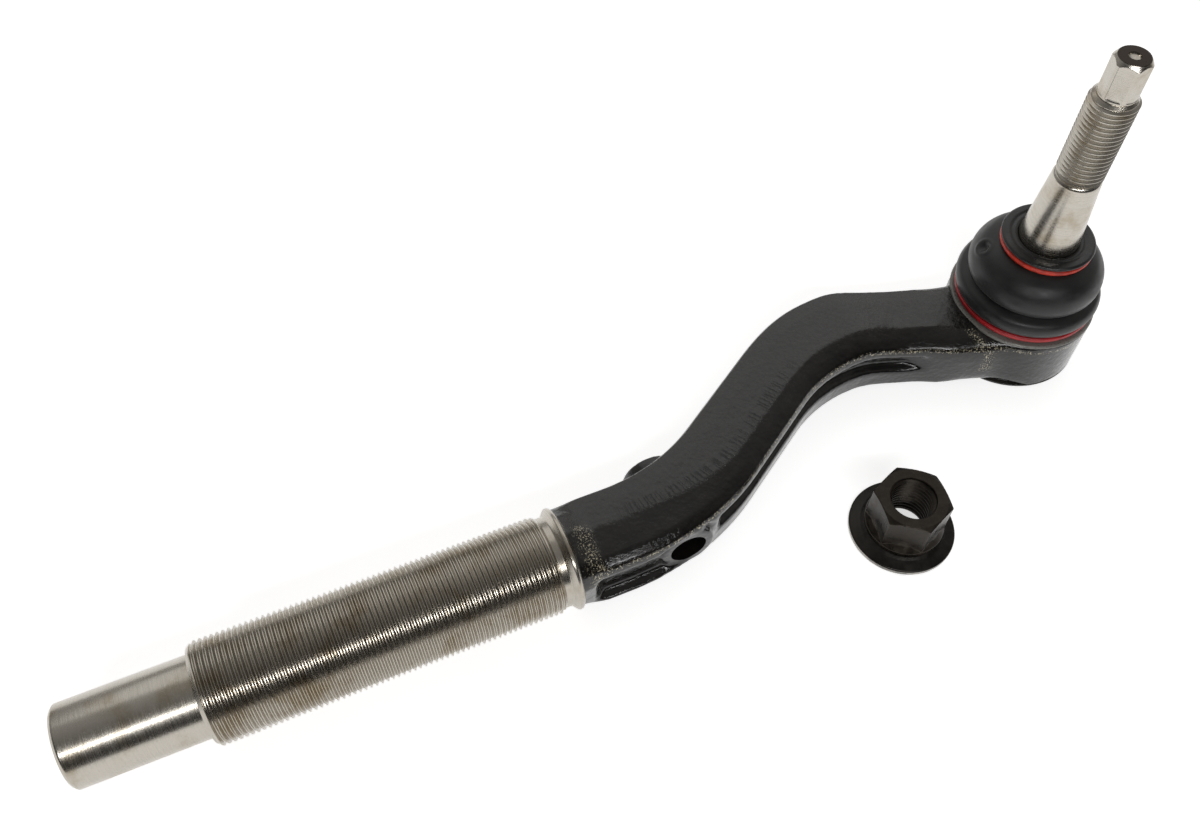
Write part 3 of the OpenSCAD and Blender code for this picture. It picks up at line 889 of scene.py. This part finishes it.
def make_collar(look):
    """The stiff lip at the top of the boot, with the grease that collects round the stud."""
    low, high = COLLAR_LOW.z, COLLAR_HIGH.z
    lip_r = COLLAR_HIGH.x
    bore_r = SHOULDER_R + 0.06
    outline = rounded([
        (bore_r, low), (11.0, low), (11.0, 45.6), (lip_r - 0.3, 45.6), (lip_r, 46.0), (lip_r, high - 0.5),
        (lip_r - 0.6, high), (11.9, high - 0.1), (11.0, high - 0.45), (10.2, high - 0.2),
        (bore_r, high - 0.5), (bore_r, low),
    ], 0.25)
    shape = Shape().turned(outline, 192)
    piece = build("boot_lip", shape, 50)
    finish_piece(piece, "boot_top", look, ["boot_collar"])


def make_ring(name, node, body, look, squash=1.0):
    """A flattened wire ring, in the place of its CAD node."""
    low, high = box_mm(node)
    wire = (high.z - low.z) / 2
    ring_r = high.x - wire
    z = (high.z + low.z) / 2
    outline = []
    for a in np.linspace(0, 2 * math.pi, 24, endpoint=False):
        flat = 0.72
        outline.append((ring_r + wire * math.copysign(abs(math.cos(a)) ** flat, math.cos(a)) * squash,
                        z + wire * math.copysign(abs(math.sin(a)) ** flat, math.sin(a))))
    piece = build(name, Shape().turned(outline, 192, closed=True))
    finish_piece(piece, body, look, [node])


# ---------------------------------------------------------------- nut

def make_nut(look):
    """Hexagon with a chamfered top, a round collar and a threaded bore."""
    flats = 20.0
    top = NUT_HIGH.z
    mouth_r = 6.8
    collar_r = 11.7
    collar_low = WASHER_HIGH.z + 0.2
    collar_top = collar_low + 1.3
    turn = math.radians(22)
    segments = 240
    across = hexagon(flats, turn)

    def outside(z):
        chamfer = flats / 2 - 0.2 + (top - z) / math.tan(math.radians(30))
        collar = collar_r - max(0.0, z - collar_top) * 0.9
        return lambda angle: np.maximum(np.minimum(across(angle), chamfer), min(collar, collar_r))

    rows = [(mouth_r, 0.4), (9.7, 0.4), (9.9, 0.55), (9.9, 1.0), (9.0, 1.0), (9.0, collar_low)]
    rows += [(collar_r - 0.25, collar_low), (collar_r, collar_low + 0.25)]
    for z in np.linspace(collar_low + 0.4, collar_top + 1.6, 14):
        rows.append((outside(z), z))
    for z in np.linspace(collar_top + 2.4, top - 2.2, 6):
        rows.append((outside(z), z))
    for z in np.linspace(top - 2.0, top, 22):
        rows.append((outside(z), z))
    rows += [(mouth_r + 0.2, top), (mouth_r, top - 0.1)]
    shape = Shape().rings(rows, segments)
    shape.thread(0.4, top - 0.1, NUT_BORE_R, NUT_BORE_R + THREAD_DEPTH, mouth_r, mouth_r, per_turn=segments)
    shape.moved(Matrix.Translation((NUT_CENTRE.x, NUT_CENTRE.y, 0)))
    piece = build("hexagon_nut", shape, 26)
    finish_piece(piece, "nut", look, ["flange_nut"])


def make_washer(look):
    """The nut's wide conical washer."""
    outer_r = (WASHER_HIGH.x - WASHER_LOW.x) / 2
    high = WASHER_HIGH.z
    outline = rounded([
        (10.2, 0), (outer_r - 0.35, 0), (outer_r, 0.35), (outer_r, 1.7), (outer_r - 0.3, 2.0),
        (12.6, high - 0.9), (11.6, high - 0.3), (10.6, high), (9.3, high), (9.3, 1.4), (10.2, 1.4), (10.2, 0),
    ], 0.2)
    shape = Shape().turned(outline, 192).moved(Matrix.Translation((NUT_CENTRE.x, NUT_CENTRE.y, 0)))
    piece = build("conical_washer", shape, 30)
    finish_piece(piece, "washer", look, ["captive_washer"])


# ---------------------------------------------------------------- assembly

def repaint(node, look):
    """Gives a carried-over CAD node its material."""
    piece = frame["nodes"][node]
    piece.data.materials.clear()
    piece.data.materials.append(look)


make_shank(turned_steel("turned_shank_steel", 0))
make_forging(black_paint())
make_housing(housing_paint())
make_stud(turned_steel("turned_stud_steel", 2, (0.50, 0.47, 0.42), 0.22, dark_above=TIP_TOP))
make_boot(rubber("boot_rubber"))
make_collar(rubber("greasy_lip_rubber", 0.008, greasy=True))
make_ring("lower_boot_ring", "boot_lower_ring", "body", red_plastic("crimson_ring", (0.42, 0.012, 0.016)))
make_ring("upper_boot_ring", "boot_upper_ring", "boot_top",
          red_plastic("orange_red_ring", (0.60, 0.035, 0.015)))
make_nut(phosphate("nut_phosphate", (0.020, 0.016, 0.012)))
make_washer(phosphate("washer_phosphate", (0.016, 0.014, 0.012), rims=[(0.2, 1.5, (0.42, 0.40, 0.37))]))
repaint("end_cover", housing_paint())
repaint("preload_spring", turned_steel("spring_steel", 2, (0.42, 0.43, 0.45), 0.3))
repaint("lower_seat", bearing_plastic())
repaint("upper_race", bearing_plastic())


# ---------------------------------------------------------------- stage, light and camera

def add_floor():
    """A wide pale floor just under the part."""
    mesh = bpy.data.meshes.new("floor")
    half = 3.0
    z = CAD_LOW[2] - 0.0001
    corners = [(-half, -half, z), (half, -half, z), (half, half, z), (-half, half, z)]
    mesh.from_pydata(corners, [], [(0, 1, 2, 3)])
    floor = bpy.data.objects.new("floor", mesh)
    bpy.context.collection.objects.link(floor)
    look = Look("pale_floor", (0.9, 0.9, 0.9), roughness=0.55, specular_ior_level=0.2,
                emission_color=(1, 1, 1, 1), emission_strength=0.66)
    tone = look.noise(60.0, detail=2.0)
    look.colour(look.blend(tone, (0.90, 0.90, 0.90), (0.92, 0.92, 0.92)))
    mesh.materials.append(look.material)


def add_panel(name, at, aim, size, power):
    """A soft light panel."""
    light = bpy.data.lights.new(name, "AREA")
    light.shape = "RECTANGLE"
    light.size, light.size_y = size
    light.energy = power
    panel = bpy.data.objects.new(name, light)
    panel.location = at
    panel.rotation_euler = (Vector(aim) - Vector(at)).to_track_quat("-Z", "Y").to_euler()
    bpy.context.collection.objects.link(panel)


def add_sky():
    """Light from all round: bright behind the part, dark on the side it is seen from."""
    world = bpy.data.worlds.new("studio")
    world.use_nodes = True
    tree = world.node_tree
    place = tree.nodes.new("ShaderNodeTexCoord")
    side = tree.nodes.new("ShaderNodeVectorMath")
    side.operation = "DOT_PRODUCT"
    side.inputs[1].default_value = Vector((0.30, 0.85, 0.42)).normalized()
    tree.links.new(place.outputs["Generated"], side.inputs[0])
    level = tree.nodes.new("ShaderNodeMapRange")
    level.interpolation_type = "SMOOTHSTEP"
    for socket, number in (("From Min", -0.35), ("From Max", 0.65), ("To Min", 0.03), ("To Max", 0.36)):
        level.inputs[socket].default_value = number
    tree.links.new(side.outputs["Value"], level.inputs["Value"])
    tree.links.new(level.outputs["Result"], tree.nodes["Background"].inputs["Strength"])
    tree.nodes["Background"].inputs["Color"].default_value = (1.0, 0.98, 0.95, 1)
    bpy.context.scene.world = world


def add_camera():
    """The camera, looking down at the part from the front left."""
    at = Vector((-0.2271, -0.1671, 0.2928))
    aim = Vector((-0.1397, 0.0206, 0.0))
    roll = math.radians(1.55)
    data = bpy.data.cameras.new("camera")
    data.sensor_width = 36.0
    data.lens = 33.82
    data.clip_start = 0.01
    camera = bpy.data.objects.new("camera", data)
    camera.rotation_mode = "QUATERNION"
    look_at = (aim - at).to_track_quat("-Z", "Y")
    camera.location = at
    camera.rotation_quaternion = look_at @ Matrix.Rotation(roll, 4, "Z").to_quaternion()
    bpy.context.collection.objects.link(camera)
    bpy.context.scene.camera = camera


add_floor()
add_sky()
add_panel("back", (0.35, 1.15, 1.25), (-0.14, 0.0, 0.0), (2.6, 1.5), 7)
add_panel("front_strip", (-0.35, -0.80, 0.80), (-0.18, -0.02, 0.0), (1.0, 0.06), 4.5)
add_camera()
bpy.context.scene.view_settings.view_transform = "Standard"
